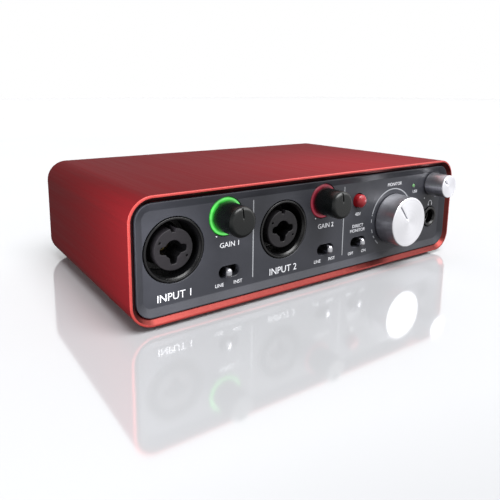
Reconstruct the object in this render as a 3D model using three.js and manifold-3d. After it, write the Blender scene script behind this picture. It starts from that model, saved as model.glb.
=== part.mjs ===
// A two-input desktop USB audio interface: an extruded aluminium sleeve closed by a dished front
// panel and a flat rear panel, with its boards, sockets, controls and feet as separate pieces.
// Millimetres, +X right, +Y back, +Z up. The front panel looks towards -Y.
import * as THREE from "three";
import { mergeVertices } from "three/addons/utils/BufferGeometryUtils.js";
import Module from "manifold-3d";

const wasm = await Module();
wasm.setup();

// ---- Driving dimensions ----------------------------------------------------------------------
// Depths (Y) and heights (Z) are measured from the middle of the sleeve and from its underside.
const WIDTH = 175;
const HEIGHT = 46;
const DEPTH = 100;
const CORNER = 9; // outer corner radius of the extrusion
const WALL = 2.5;
const FOOT_HEIGHT = 1.5;

const FRONT = -DEPTH / 2;
const BACK = DEPTH / 2;
const MID_Z = HEIGHT / 2;
const FIT = 0.3; // clearance between pieces that are pushed together
const PANEL_FACE = FRONT + 2.5; // the flat of the front panel, sunk in the sleeve
const PANEL_RIM = FRONT + 1.1; // the front edge of its dished border
const PANEL_BACK = PANEL_FACE + 2.5;
const DISH = 2.9; // width of the dished border
const REAR_FACE = BACK - 2;
const REAR_INNER = REAR_FACE - 2;
const LIP = 1.7; // funnel chamfer on the sleeve's front mouth

const BOARD_TOP = 12.1; // main board, upper face
const BOARD_THICK = 1.6;
const ON_BOARD = BOARD_TOP + FIT; // the underside of what is soldered to it
const CONTROL_FRONT = -36; // control board, front face
const CONTROL_BACK = CONTROL_FRONT + BOARD_THICK;
const ON_CONTROL = CONTROL_FRONT - FIT;

// Centres on the front panel: [x, z].
const INPUTS = { input_1: [-69.5, 25.2], input_2: [-20.3, 25.2] };
const INPUT_R = 11.75;
const CORE_R = 7.6; // the insert inside an input's shell
const PLUG_R = 3.4; // quarter-inch jack bore of an input
const GAINS = { gain_1: [-47.9, 34.3], gain_2: [1.1, 34.3] };
const MONITOR = [45.6, 20.8];
const PHONES = [74, 34.5];
const PHONES_JACK = [74.5, 17.7];
const PHANTOM = [22.3, 32];
const USB_LIGHT = [60.6, 34.9];
const COLLAR_R = 4.95;
const BUTTON_R = 2.9;
const LENS_R = 1;
// Slide switches: [x, z, the side that the lever rests on].
const SWITCHES = {
  switch_1: [-46.6, 12.9, -1],
  switch_2: [2.9, 12.9, 1],
  switch_3: [23.1, 12.9, 1],
};
const SWITCH_TRAVEL = 2.4;
const SLOT = [9.2, 4.6];

// Knobs: base and tip radius, length in front of the panel, pointer angle clockwise from the top.
const GAIN_KNOB = { base: 5.85, tip: 5.5, length: 11.2, pointer: [2, 5.2], angle: -6 };
const MONITOR_KNOB = { base: 11.8, tip: 11.6, length: 9.7, pointer: [2, 10], angle: -39 };
const PHONES_KNOB = { base: 5.6, tip: 5.3, length: 10, pointer: [1.5, 4.8], angle: -50 };
const KNOB_GAP = 0.4; // between a knob's back and the panel
const SHAFT_R = 3;
const SHAFT_BACK = -38;
const POT_FRONT = -42.5;
const HALO_R = 7.3;

// Centres on the rear panel: [x, z].
const LINE_OUTS = { line_out_left: [-32, 20.5], line_out_right: [-58, 20.5] };
const USB = [46, 18.2];
const USB_SIZE = [12, 11];
const LOCK = [70, 20];
const LOCK_SLOT = [7, 3];
const THREAD_R = 4.4; // of the output jacks
const THREAD_END = BACK + 1.5;
const JACK_R = 3.2; // bore of the output and headphone jacks

const SCREW_R = 1; // shank
const SCREWS = {
  rear_screw_top_left: [81, 39.5],
  rear_screw_top_right: [-81, 39.5],
  rear_screw_bottom_left: [81, 6.5],
  rear_screw_bottom_right: [-81, 6.5],
};
const FEET = {
  foot_front_left: [-68, -34],
  foot_front_right: [68, -34],
  foot_rear_left: [-68, 34],
  foot_rear_right: [68, 34],
};

// ---- Materials -------------------------------------------------------------------------------
const finish = (color, roughness, metalness) =>
  new THREE.MeshStandardMaterial({ color, roughness, metalness });
const RED_METAL = finish(0xa02f33, 0.38, 0.85);
const PANEL_GREY = finish(0x434446, 0.55, 0.2);
const BLACK_PLASTIC = finish(0x101012, 0.45, 0);
const CORE_GREY = finish(0x3a3a3d, 0.6, 0);
const SOFT_BLACK = finish(0x17181a, 0.7, 0);
const SILVER = finish(0xd9dade, 0.25, 1);
const STEEL = finish(0xa9abaf, 0.35, 1);
const WHITE_PLASTIC = finish(0xe9eaec, 0.4, 0);
const GREEN_LENS = finish(0x5fd36a, 0.4, 0);
const RED_LENS = finish(0x9a3a50, 0.4, 0);
const BUTTON_RED = finish(0xb3202a, 0.3, 0);
const RUBBER = finish(0x141414, 0.9, 0);
const BOARD_GREEN = finish(0x12452c, 0.6, 0);
const CHIP_BLACK = finish(0x1a1a1c, 0.5, 0);

// ---- Geometry helpers ------------------------------------------------------------------------
// Every solid below is cut and joined as a manifold, and turned back into a geometry at the end.
function solid(geometry) {
  const bare = geometry.index ? geometry.toNonIndexed() : geometry;
  bare.deleteAttribute("normal");
  bare.deleteAttribute("uv");
  const merged = mergeVertices(bare, 1e-4);
  return new wasm.Manifold(
    new wasm.Mesh({
      numProp: 3,
      vertProperties: merged.attributes.position.array,
      triVerts: new Uint32Array(merged.index.array),
    }),
  );
}

function geometryOf(shape) {
  const mesh = shape.getMesh();
  const geometry = new THREE.BufferGeometry();
  geometry.setAttribute("position", new THREE.BufferAttribute(mesh.vertProperties, 3));
  geometry.setIndex(new THREE.BufferAttribute(mesh.triVerts, 1));
  geometry.computeVertexNormals();
  return geometry;
}

const join = (...shapes) => shapes.reduce((a, b) => a.add(b));
const cut = (shape, ...tools) => tools.reduce((a, b) => a.subtract(b), shape);

// A box given by its low and high corners.
function box(low, high) {
  const size = high.map((v, i) => v - low[i]);
  const middle = high.map((v, i) => (v + low[i]) / 2);
  return solid(new THREE.BoxGeometry(...size).translate(...middle));
}

function roundedRect(width, height, radius) {
  const x = width / 2;
  const z = height / 2;
  const outline = new THREE.Shape();
  outline.absarc(x - radius, z - radius, radius, 0, Math.PI / 2);
  outline.absarc(radius - x, z - radius, radius, Math.PI / 2, Math.PI);
  outline.absarc(radius - x, radius - z, radius, Math.PI, 1.5 * Math.PI);
  outline.absarc(x - radius, radius - z, radius, 1.5 * Math.PI, 2 * Math.PI);
  return outline;
}

// An outline drawn in X and Z, made solid between two depths.
function plate(outline, front, back, curveSegments = 4) {
  const geometry = new THREE.ExtrudeGeometry(outline, {
    depth: back - front,
    bevelEnabled: false,
    curveSegments,
  });
  return solid(geometry.rotateX(Math.PI / 2).translate(0, back, 0));
}

const slab = (width, height, radius, front, back, x = 0, z = 0) =>
  plate(roundedRect(width, height, radius), front, back, radius > 3 ? 4 : 2).translate([x, 0, z]);

// A solid of revolution about Y from [radius, y] points, in either order.
function turned(profile, segments = 24) {
  const points = profile.map(([radius, y]) => new THREE.Vector2(radius, y));
  const closed = profile[0][0] > 0 || profile.at(-1)[0] > 0;
  if (THREE.ShapeUtils.area(points) < 0) points.reverse();
  if (closed) points.push(points[0].clone());
  return solid(new THREE.LatheGeometry(points, segments));
}

const disc = (radius, front, back, segments = 24, x = 0, z = 0) =>
  turned([[0, front], [radius, front], [radius, back], [0, back]], segments).translate([x, 0, z]);

const ring = (inner, outer, front, back, segments = 24) =>
  turned([[inner, front], [outer, front], [outer, back], [inner, back]], segments);

// A funnel: a rounded rectangle at each of two depths, joined by straight sides.
function funnel(width, height, radius, widen, front, back) {
  const wide = roundedRect(width + 2 * widen, height + 2 * widen, radius + widen);
  const narrow = roundedRect(width, height, radius);
  const rim = wide.getPoints(4);
  const throat = narrow.getPoints(4); // as many points as the rim
  const count = rim.length;
  const position = [];
  rim.forEach((p) => position.push(p.x, front, p.y));
  throat.forEach((p) => position.push(p.x, back, p.y));
  const index = [];
  for (let i = 0; i < count; i++) {
    const next = (i + 1) % count;
    index.push(i, count + i, next, next, count + i, count + next);
    if (i > 1) {
      index.push(0, i - 1, i);
      index.push(count, count + i, count + i - 1);
    }
  }
  const geometry = new THREE.BufferGeometry();
  geometry.setAttribute("position", new THREE.Float32BufferAttribute(position, 3));
  geometry.setIndex(index);
  return solid(geometry);
}

// ---- Assembly --------------------------------------------------------------------------------
const audioInterface = new THREE.Group();
const assembly = new THREE.Group();
const foremost = PANEL_FACE - GAIN_KNOB.length;
assembly.position.set(0, -(foremost + THREAD_END) / 2, FOOT_HEIGHT);
audioInterface.add(assembly);

// Adds one named piece whose shape is drawn about the point [x, z] of a panel.
function addPart(name, shape, material, [x, z] = [0, 0]) {
  const mesh = new THREE.Mesh(geometryOf(shape), material);
  mesh.name = name;
  mesh.position.set(x, 0, z);
  assembly.add(mesh);
}

// ---- Sleeve, panels, feet and screws -----------------------------------------------------------
const INNER_W = WIDTH - 2 * WALL;
const INNER_H = HEIGHT - 2 * WALL;
const INNER_R = CORNER - WALL;

function sleeve() {
  const outline = roundedRect(WIDTH, HEIGHT, CORNER);
  outline.holes.push(roundedRect(INNER_W, INNER_H, INNER_R));
  const tube = plate(outline, FRONT, BACK).translate([0, 0, MID_Z]);
  const mouth = funnel(INNER_W, INNER_H, INNER_R, LIP, FRONT - 0.01, FRONT + LIP);
  const railFront = PANEL_BACK + FIT;
  const railBack = REAR_INNER - FIT;
  const railThick = 1.2;
  const parts = [];
  for (const side of [-1, 1]) {
    const wall = side * (WIDTH / 2 - 1);
    const tip = side * (INNER_W / 2 - 3);
    const [low, high] = [Math.min(wall, tip), Math.max(wall, tip)];
    for (const z of [BOARD_TOP - BOARD_THICK - FIT - railThick, BOARD_TOP + FIT])
      parts.push(box([low, railFront, z], [high, railBack, z + railThick]));
  }
  for (const [x, z] of Object.values(SCREWS)) parts.push(screwBoss(x, z, railFront, railBack));
  return join(cut(tube, mouth.translate([0, 0, MID_Z])), ...parts);
}

// A screw channel in a corner of the extrusion, with a web that ties it to the wall.
function screwBoss(x, z, front, back) {
  const reach = 4.2;
  const web = box([0, front, -0.8], [reach, back, 0.8]);
  const angle = (180 / Math.PI) * Math.atan2(z - MID_Z > 0 ? 1 : -1, Math.sign(x));
  const placed = web.rotate([0, -angle, 0]).translate([x, 0, z]);
  const channel = disc(2.4, front, back, 16, x, z);
  return cut(join(channel, placed), disc(SCREW_R + FIT, front - 1, back + 1, 12, x, z));
}

function frontPanel() {
  const blank = slab(INNER_W - 2 * FIT, INNER_H - 2 * FIT, INNER_R - FIT, PANEL_RIM, PANEL_BACK);
  const flat = [INNER_W - 2 * FIT - 2 * DISH, INNER_H - 2 * FIT - 2 * DISH];
  const dish = funnel(flat[0], flat[1], 3.4, DISH - 0.35, PANEL_RIM - 0.01, PANEL_FACE);
  const through = [PANEL_RIM - 1, PANEL_BACK + 1];
  const hole = (radius, [x, z], segments) => disc(radius, ...through, segments, x, z);
  const holes = [
    ...Object.values(INPUTS).map((at) => hole(INPUT_R + FIT, at, 40)),
    ...Object.values(GAINS).map((at) => hole(HALO_R + 0.2, at, 32)),
    hole(SHAFT_R + 0.6, MONITOR, 24),
    hole(SHAFT_R + 0.6, PHONES, 24),
    hole(COLLAR_R + FIT, PHONES_JACK, 32),
    hole(BUTTON_R + 0.4, PHANTOM, 24),
    hole(LENS_R + FIT, USB_LIGHT, 12),
    ...Object.values(SWITCHES).map(([x, z]) => slab(...SLOT, SLOT[1] / 2 - 0.01, ...through, x, z)),
  ];
  return cut(blank.translate([0, 0, MID_Z]), dish.translate([0, 0, MID_Z]), ...holes);
}

function rearPanel() {
  const outline = roundedRect(INNER_W - 2 * FIT, INNER_H - 2 * FIT, INNER_R - FIT);
  const blank = plate(outline, REAR_INNER, REAR_FACE).translate([0, 0, MID_Z]);
  const through = [REAR_INNER - 1, REAR_FACE + 1];
  const holes = [
    ...Object.values(LINE_OUTS).map(([x, z]) => disc(THREAD_R + 0.4, ...through, 24, x, z)),
    ...Object.values(SCREWS).map(([x, z]) => disc(SCREW_R + FIT, ...through, 12, x, z)),
    slab(USB_SIZE[0] + 2 * FIT, USB_SIZE[1] + 2 * FIT, 0.6, ...through, ...USB),
    slab(...LOCK_SLOT, 0.8, ...through, ...LOCK),
  ];
  return cut(blank, ...holes);
}

// Pan-head screw with a crossed recess, pointing forwards.
function rearScrew() {
  const head = REAR_FACE + 1.4;
  const blank = turned(
    [
      [0, REAR_INNER - 7],
      [SCREW_R, REAR_INNER - 7],
      [SCREW_R, REAR_FACE + 0.02],
      [2, REAR_FACE + 0.02],
      [2, head - 0.5],
      [1.4, head],
      [0, head],
    ],
    16,
  );
  const slot = box([-1.1, head - 0.8, -0.3], [1.1, head + 1, 0.3]);
  return cut(blank, slot, slot.rotate([0, 90, 0]));
}

// Round rubber foot, stuck under the sleeve.
function foot() {
  const sideways = turned(
    [
      [0, 0.02],
      [6, 0.02],
      [6, FOOT_HEIGHT - 0.5],
      [5.5, FOOT_HEIGHT],
      [0, FOOT_HEIGHT],
    ],
    32,
  );
  return sideways.rotate([-90, 0, 0]);
}

// ---- Boards and brackets -----------------------------------------------------------------------
function controlBoard() {
  const blank = box([-78.2, CONTROL_FRONT, 9.2], [78.2, CONTROL_BACK, 41]);
  const through = [CONTROL_FRONT - 1, CONTROL_BACK + 1];
  const [jackX] = PHONES_JACK;
  return cut(
    blank,
    ...Object.values(INPUTS).map(([x, z]) => disc(INPUT_R + 0.6, ...through, 32, x, z)),
    box([jackX - 6.9, through[0], 0], [jackX + 10, through[1], 23.6]),
  );
}

// A folded angle that ties the front panel to the underside of the main board.
function panelBracket() {
  const back = PANEL_BACK + FIT;
  const outline = new THREE.Shape();
  const corners = [
    [back, 3.6],
    [back + 1, 3.6],
    [back + 1, 7.6],
    [-32, 7.6],
    [-32, 9.2],
    [-20, 9.2],
    [-20, 10.2],
    [-33, 10.2],
    [-33, 8.6],
    [back, 8.6],
  ];
  outline.setFromPoints(corners.map(([y, z]) => new THREE.Vector2(y, z)));
  const width = 12;
  const geometry = new THREE.ExtrudeGeometry(outline, { depth: width, bevelEnabled: false });
  const [alongX, alongY, alongZ] = [0, 1, 2].map((i) => new THREE.Vector3().setComponent(i, 1));
  geometry.applyMatrix4(new THREE.Matrix4().makeBasis(alongY, alongZ, alongX));
  return solid(geometry).translate([-width / 2, 0, 0]);
}

// ---- Input sockets -----------------------------------------------------------------------------
// The socket's black shell: a cup around the core, with a foot on the main board.
function inputShell() {
  const front = PANEL_FACE - 0.2;
  const [, centreZ] = INPUTS.input_1;
  const cup = turned(
    [
      [10.8, front],
      [INPUT_R, front],
      [INPUT_R, -26],
      [5.4, -26],
      [5.4, -28],
      [10.3, -28],
      [10.3, front + 1.2],
    ],
    40,
  );
  const standing = box([-8, -33.5, ON_BOARD - centreZ], [8, -26.5, -INPUT_R + 2.2]);
  return join(cup, cut(standing, disc(INPUT_R - 0.4, -40, -20, 40)));
}

// The core that carries the three contacts round the jack bore, keyed at the top.
function inputCore() {
  const front = PANEL_FACE + 0.6;
  const body = turned(
    [
      [0, -13.5],
      [5.1, -13.5],
      [5.1, -28 - FIT],
      [CORE_R, -28 - FIT],
      [CORE_R, front + 0.3],
      [CORE_R - 0.3, front],
      [0, front],
    ],
    32,
  );
  const bore = disc(PLUG_R, front - 1, -15, 24);
  const contacts = [0, 180, 270].map((degrees) => {
    const angle = THREE.MathUtils.degToRad(degrees);
    return disc(1.3, front - 1, front + 13, 12, 4.05 * Math.cos(angle), 4.05 * Math.sin(angle));
  });
  const key = box([-1.1, front - 1, 6.3], [1.1, front + 9, 9]);
  return cut(body, bore, ...contacts, key);
}

// ---- Knobs and potentiometers --------------------------------------------------------------------
function knob({ base, tip, length, pointer, angle }) {
  const back = PANEL_FACE - KNOB_GAP;
  const face = PANEL_FACE - length;
  const round = 0.6;
  const body = turned(
    [
      [0, back],
      [base, back],
      [tip, face + round],
      [tip - round * 0.3, face + round * 0.3],
      [tip - round, face],
      [0, face],
    ],
    40,
  );
  const socket = disc(SHAFT_R + FIT, face + 2.5, back + 1, 24);
  const groove = box([-0.3, face - 1, pointer[0]], [0.3, face + 0.4, pointer[1]]);
  return cut(body, socket, groove.rotate([0, angle, 0]));
}

// The shaft, with the flat that the knob's socket grips.
function shaft({ length }) {
  const end = PANEL_FACE - length + 2.5 + FIT;
  const flat = box([-SHAFT_R, end - 1, SHAFT_R - 0.7], [SHAFT_R, end + 5, SHAFT_R + 1]);
  return cut(disc(SHAFT_R, end, SHAFT_BACK, 24), flat);
}

function pot(width) {
  const half = width / 2;
  const can = box([-half, POT_FRONT, -half], [half, ON_CONTROL, half]);
  const bush = disc(Math.min(half - 0.1, 4.2), POT_FRONT - 1.1, POT_FRONT + 0.5, 24);
  return cut(join(can, bush), disc(SHAFT_R + FIT, FRONT, SHAFT_BACK + FIT, 24));
}

// A translucent ring flush with the panel, with a flange behind it.
function halo() {
  const inner = SHAFT_R + 0.6;
  return join(
    ring(inner, HALO_R, PANEL_FACE, PANEL_BACK + FIT + 0.5, 32),
    ring(inner, HALO_R + 1, PANEL_BACK + FIT, PANEL_BACK + FIT + 0.8, 32),
  );
}

// ---- Switches, button and light ------------------------------------------------------------------
function switchBody() {
  const front = PANEL_BACK + 0.6;
  const body = box([-6.25, front, -3.25], [6.25, ON_CONTROL, 3.25]);
  return cut(body, box([-5.3, front - 1, -2.4], [5.3, front + 3.4, 2.4]));
}

// A lever with a rounded tip on the plate that slides inside the switch.
function switchLever() {
  const tip = PANEL_FACE - 2.5;
  const stem = slab(2.8, 3.7, 1.35, tip + 0.6, -43);
  const crown = slab(2.2, 3.1, 1.05, tip, tip + 1);
  return join(stem, crown, box([-2.4, -43.2, -2], [2.4, -41.4, 2]));
}

function phantomButton() {
  const crown = PANEL_FACE - 3;
  return turned(
    [
      [0, crown],
      [1.4, crown + 0.25],
      [2.4, crown + 0.9],
      [BUTTON_R, crown + 2],
      [BUTTON_R, -44],
      [1.5, -44],
      [1.5, -40.2],
      [0, -40.2],
    ],
    24,
  );
}

const phantomSwitch = () =>
  cut(box([-3.5, -42, -3.5], [3.5, ON_CONTROL, 3.5]), disc(1.8, -45, -37.5, 16));

const usbLight = () =>
  turned(
    [
      [0, PANEL_FACE - 0.1],
      [LENS_R, PANEL_FACE - 0.1],
      [LENS_R, PANEL_BACK + FIT],
      [LENS_R + 0.6, PANEL_BACK + FIT],
      [LENS_R + 0.6, PANEL_BACK + 1],
      [LENS_R, PANEL_BACK + 1],
      [LENS_R, ON_CONTROL],
      [0, ON_CONTROL],
    ],
    12,
  );

// ---- Jacks and ports -----------------------------------------------------------------------------
function phonesJack() {
  const [, centreZ] = PHONES_JACK;
  const half = centreZ - ON_BOARD;
  const body = box([-6.5, PANEL_BACK + 0.6, -half], [6.5, -14, half]);
  return cut(body, disc(JACK_R, FRONT, -15.5, 24));
}

const phonesCollar = () =>
  turned(
    [
      [3.3, PANEL_FACE + 0.2],
      [3.8, PANEL_FACE - 0.5],
      [COLLAR_R - 0.25, PANEL_FACE - 0.5],
      [COLLAR_R, PANEL_FACE - 0.2],
      [COLLAR_R, PANEL_BACK + 0.3],
      [3.3, PANEL_BACK + 0.3],
    ],
    32,
  );

function lineOutJack() {
  const [, centreZ] = LINE_OUTS.line_out_left;
  const half = centreZ - ON_BOARD;
  const body = box([-7.5, 19, -half], [7.5, REAR_INNER - FIT, half]);
  const thread = disc(THREAD_R, REAR_INNER - 1, THREAD_END, 32);
  return cut(join(body, thread), disc(JACK_R, 20.5, THREAD_END + 1, 24));
}

function lineOutNut() {
  const back = REAR_FACE + 2.6;
  const hexagon = disc(6.6, REAR_FACE + 0.02, back, 6);
  return cut(hexagon, disc(THREAD_R + FIT, REAR_FACE - 1, back + 1, 32));
}

const USB_FRONT = 32;

function usbShell() {
  const end = REAR_FACE + 0.8;
  const [width, height] = USB_SIZE;
  const wall = 0.7;
  const inside = slab(width - 2 * wall, height - 2 * wall, 0.3, USB_FRONT - 1, end + 1);
  return cut(slab(width, height, 0.5, USB_FRONT, end), inside);
}

function usbTongue() {
  const block = box([-5, USB_FRONT + 0.5, -4.5], [5, USB_FRONT + 7, 4.5]);
  return join(block, box([-2.8, USB_FRONT + 6, -1.6], [2.8, REAR_FACE - 0.6, 1.6]));
}

const lockPlate = () =>
  cut(slab(15, 11, 1, REAR_INNER - FIT - 1.5, REAR_INNER - FIT), slab(...LOCK_SLOT, 0.8, 40, BACK));

// ---- Putting it together -------------------------------------------------------------------------
addPart("sleeve", sleeve(), RED_METAL);
addPart("front_panel", frontPanel(), PANEL_GREY);
addPart("rear_panel", rearPanel(), PANEL_GREY);
for (const [name, at] of Object.entries(SCREWS)) addPart(name, rearScrew(), STEEL, at);
for (const [name, [x, y]] of Object.entries(FEET)) addPart(name, foot().translate([x, y, 0]), RUBBER);

const boardEdge = INNER_W / 2 - 0.5;
const mainBoard = box(
  [-boardEdge, CONTROL_BACK + FIT, BOARD_TOP - BOARD_THICK],
  [boardEdge, REAR_INNER - 0.6, BOARD_TOP],
);
addPart("main_board", mainBoard, BOARD_GREEN);
addPart("control_board", controlBoard(), BOARD_GREEN);
addPart("board_header", box([34, CONTROL_BACK + FIT, ON_BOARD], [58, -28, 17]), CHIP_BLACK);
addPart("panel_bracket_left", panelBracket(), STEEL, [-56, 0]);
addPart("panel_bracket_right", panelBracket(), STEEL, [56, 0]);
addPart("usb_chip", box([26, 8, ON_BOARD], [38, 20, ON_BOARD + 1.5]), CHIP_BLACK);
addPart("converter_chip", box([-16, 0, ON_BOARD], [-6, 10, ON_BOARD + 1.5]), CHIP_BLACK);
const capacitor = (x, y) => disc(4, -11, 0, 20).rotate([-90, 0, 0]).translate([x, y, ON_BOARD + 11]);
addPart("capacitor_left", capacitor(58, 4), CHIP_BLACK);
addPart("capacitor_right", capacitor(69, 4), CHIP_BLACK);

for (const [name, at] of Object.entries(INPUTS)) {
  addPart(name + "_shell", inputShell(), BLACK_PLASTIC, at);
  addPart(name + "_core", inputCore(), CORE_GREY, at);
}

const POT_WIDTH = 9.5;
const KNOBS = {
  gain_1: [GAINS.gain_1, GAIN_KNOB, SOFT_BLACK, POT_WIDTH],
  gain_2: [GAINS.gain_2, GAIN_KNOB, SOFT_BLACK, POT_WIDTH],
  monitor: [MONITOR, MONITOR_KNOB, SILVER, 11],
  phones: [PHONES, PHONES_KNOB, SILVER, 8.6],
};
for (const [name, [at, form, material, width]] of Object.entries(KNOBS)) {
  addPart(name + "_knob", knob(form), material, at);
  addPart(name + "_shaft", shaft(form), STEEL, at);
  addPart(name + "_pot", pot(width), STEEL, at);
}
addPart("gain_1_halo", halo(), GREEN_LENS, GAINS.gain_1);
addPart("gain_2_halo", halo(), RED_LENS, GAINS.gain_2);

for (const [name, [x, z, side]] of Object.entries(SWITCHES)) {
  addPart(name + "_body", switchBody(), STEEL, [x, z]);
  addPart(name + "_lever", switchLever(), WHITE_PLASTIC, [x + (side * SWITCH_TRAVEL) / 2, z]);
}
addPart("phantom_button", phantomButton(), BUTTON_RED, PHANTOM);
addPart("phantom_switch", phantomSwitch(), CHIP_BLACK, PHANTOM);
addPart("usb_light", usbLight(), GREEN_LENS, USB_LIGHT);
addPart("phones_jack", phonesJack(), BLACK_PLASTIC, PHONES_JACK);
addPart("phones_jack_collar", phonesCollar(), BLACK_PLASTIC, PHONES_JACK);

for (const [name, at] of Object.entries(LINE_OUTS)) {
  addPart(name + "_jack", lineOutJack(), BLACK_PLASTIC, at);
  addPart(name + "_nut", lineOutNut(), STEEL, at);
}
addPart("usb_port_shell", usbShell(), STEEL, USB);
addPart("usb_port_tongue", usbTongue(), WHITE_PLASTIC, USB);
addPart("lock_plate", lockPlate(), STEEL, LOCK);

export default audioInterface;
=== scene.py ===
"""Looks of a two-input desktop USB audio interface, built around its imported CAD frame.

Shapes are drawn in millimetres in the frame's own axes (+X right, +Y back, +Z up) and every place
comes from the CAD boxes. Each visible piece is a closed shell of rings with a procedural material.
"""
import math

import bmesh
import bpy
from mathutils import Matrix, Vector
from mathutils.geometry import tessellate_polygon


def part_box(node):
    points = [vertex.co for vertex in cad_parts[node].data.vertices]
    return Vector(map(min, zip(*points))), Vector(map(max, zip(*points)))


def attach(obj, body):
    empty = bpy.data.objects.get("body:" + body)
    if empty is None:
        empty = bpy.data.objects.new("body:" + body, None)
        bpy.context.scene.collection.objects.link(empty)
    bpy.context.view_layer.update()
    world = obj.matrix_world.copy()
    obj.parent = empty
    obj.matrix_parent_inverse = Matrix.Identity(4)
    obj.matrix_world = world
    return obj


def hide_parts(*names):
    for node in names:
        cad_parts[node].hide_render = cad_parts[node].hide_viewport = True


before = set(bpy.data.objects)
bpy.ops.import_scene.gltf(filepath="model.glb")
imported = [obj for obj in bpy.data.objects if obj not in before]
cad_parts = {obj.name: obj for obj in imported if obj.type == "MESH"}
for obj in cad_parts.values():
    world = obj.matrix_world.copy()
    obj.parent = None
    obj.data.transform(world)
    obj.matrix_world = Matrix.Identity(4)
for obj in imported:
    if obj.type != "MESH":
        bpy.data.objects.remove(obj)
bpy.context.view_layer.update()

MM = 0.001


def box_mm(node):
    low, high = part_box(node)
    return low / MM, high / MM


def centre(node):
    """The middle of a node, as (x, z)."""
    low, high = box_mm(node)
    return (low.x + high.x) / 2, (low.z + high.z) / 2


SLEEVE_LOW, SLEEVE_HIGH = box_mm("sleeve")
PANEL_LOW, PANEL_HIGH = box_mm("front_panel")
REAR_LOW, REAR_HIGH = box_mm("rear_panel")
FACE = box_mm("gain_1_halo")[0].y  # the flat of the front panel, flush with its light rings
PANEL_BACK = PANEL_HIGH.y
REAR_FACE = REAR_HIGH.y
MID_Z = (SLEEVE_LOW.z + SLEEVE_HIGH.z) / 2

# ---- Outlines ----
# Each is a function that gives its points in X and Z, grown by so many millimetres.


def circle(x, z, radius, count=64):
    def points(grow=0):
        turns = [2 * math.pi * i / count for i in range(count)]
        r = radius + grow
        return [(x + r * math.cos(a), z + r * math.sin(a)) for a in turns]

    return points


def rounded_rect(x, z, width, height, radius, steps=10):
    def points(grow=0):
        r = max(radius + grow, 0.01)
        half_x, half_z = width / 2 + grow - r, height / 2 + grow - r
        corners = ((1, 1), (-1, 1), (-1, -1), (1, -1))
        made = []
        for quarter, (side_x, side_z) in enumerate(corners):
            for i in range(steps + 1):
                a = math.pi / 2 * (quarter + i / steps)
                across, up = r * math.cos(a), r * math.sin(a)
                made.append((x + side_x * half_x + across, z + side_z * half_z + up))
        return made

    return points


def polygon(x, z, radius, sides):
    """A regular polygon with softened corners, point up."""
    round_by = 0.4

    def points(grow=0):
        made = []
        inner = radius - round_by
        r = round_by + grow
        for i in range(sides):
            turn = 2 * math.pi * i / sides + math.pi / 2
            corner_x, corner_z = x + inner * math.cos(turn), z + inner * math.sin(turn)
            for step in (-1, 0, 1):
                a = turn + step * math.pi / sides * 0.8
                made.append((corner_x + r * math.cos(a), corner_z + r * math.sin(a)))
        return made

    return points


def filleted(corners, closed=False, steps=4):
    """A profile of (u, v, fillet radius) corners turned into points, with each corner rounded.

    A fillet takes at most half of the edges that it stands between.
    """
    almost_half = 0.49
    count = len(corners)
    made = []
    for i, (u, v, radius) in enumerate(corners):
        here = Vector((u, v))
        at_end = not closed and i in (0, count - 1)
        if at_end or radius <= 0:
            made.append((u, v))
            continue
        before = Vector(corners[i - 1][:2]) - here
        after = Vector(corners[(i + 1) % count][:2]) - here
        half = before.angle(after) / 2
        most = almost_half * min(before.length, after.length)
        reach = min(radius / math.tan(half), most)
        fitted = reach * math.tan(half)
        before.normalize()
        after.normalize()
        middle = here + (before + after).normalized() * (fitted / math.sin(half))
        first = here + before * reach - middle
        last = here + after * reach - middle
        sweep = first.angle(last)
        for k in range(steps + 1):
            t = k / steps
            arm = (first * math.sin((1 - t) * sweep) + last * math.sin(t * sweep)) / math.sin(sweep)
            made.append(tuple(middle + arm))
    return made


# ---- Shells ----


CREASE = 32  # faces that turn by more than this many degrees meet in a sharp edge
WELD = 0.001 * MM  # points nearer than this are one point


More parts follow.
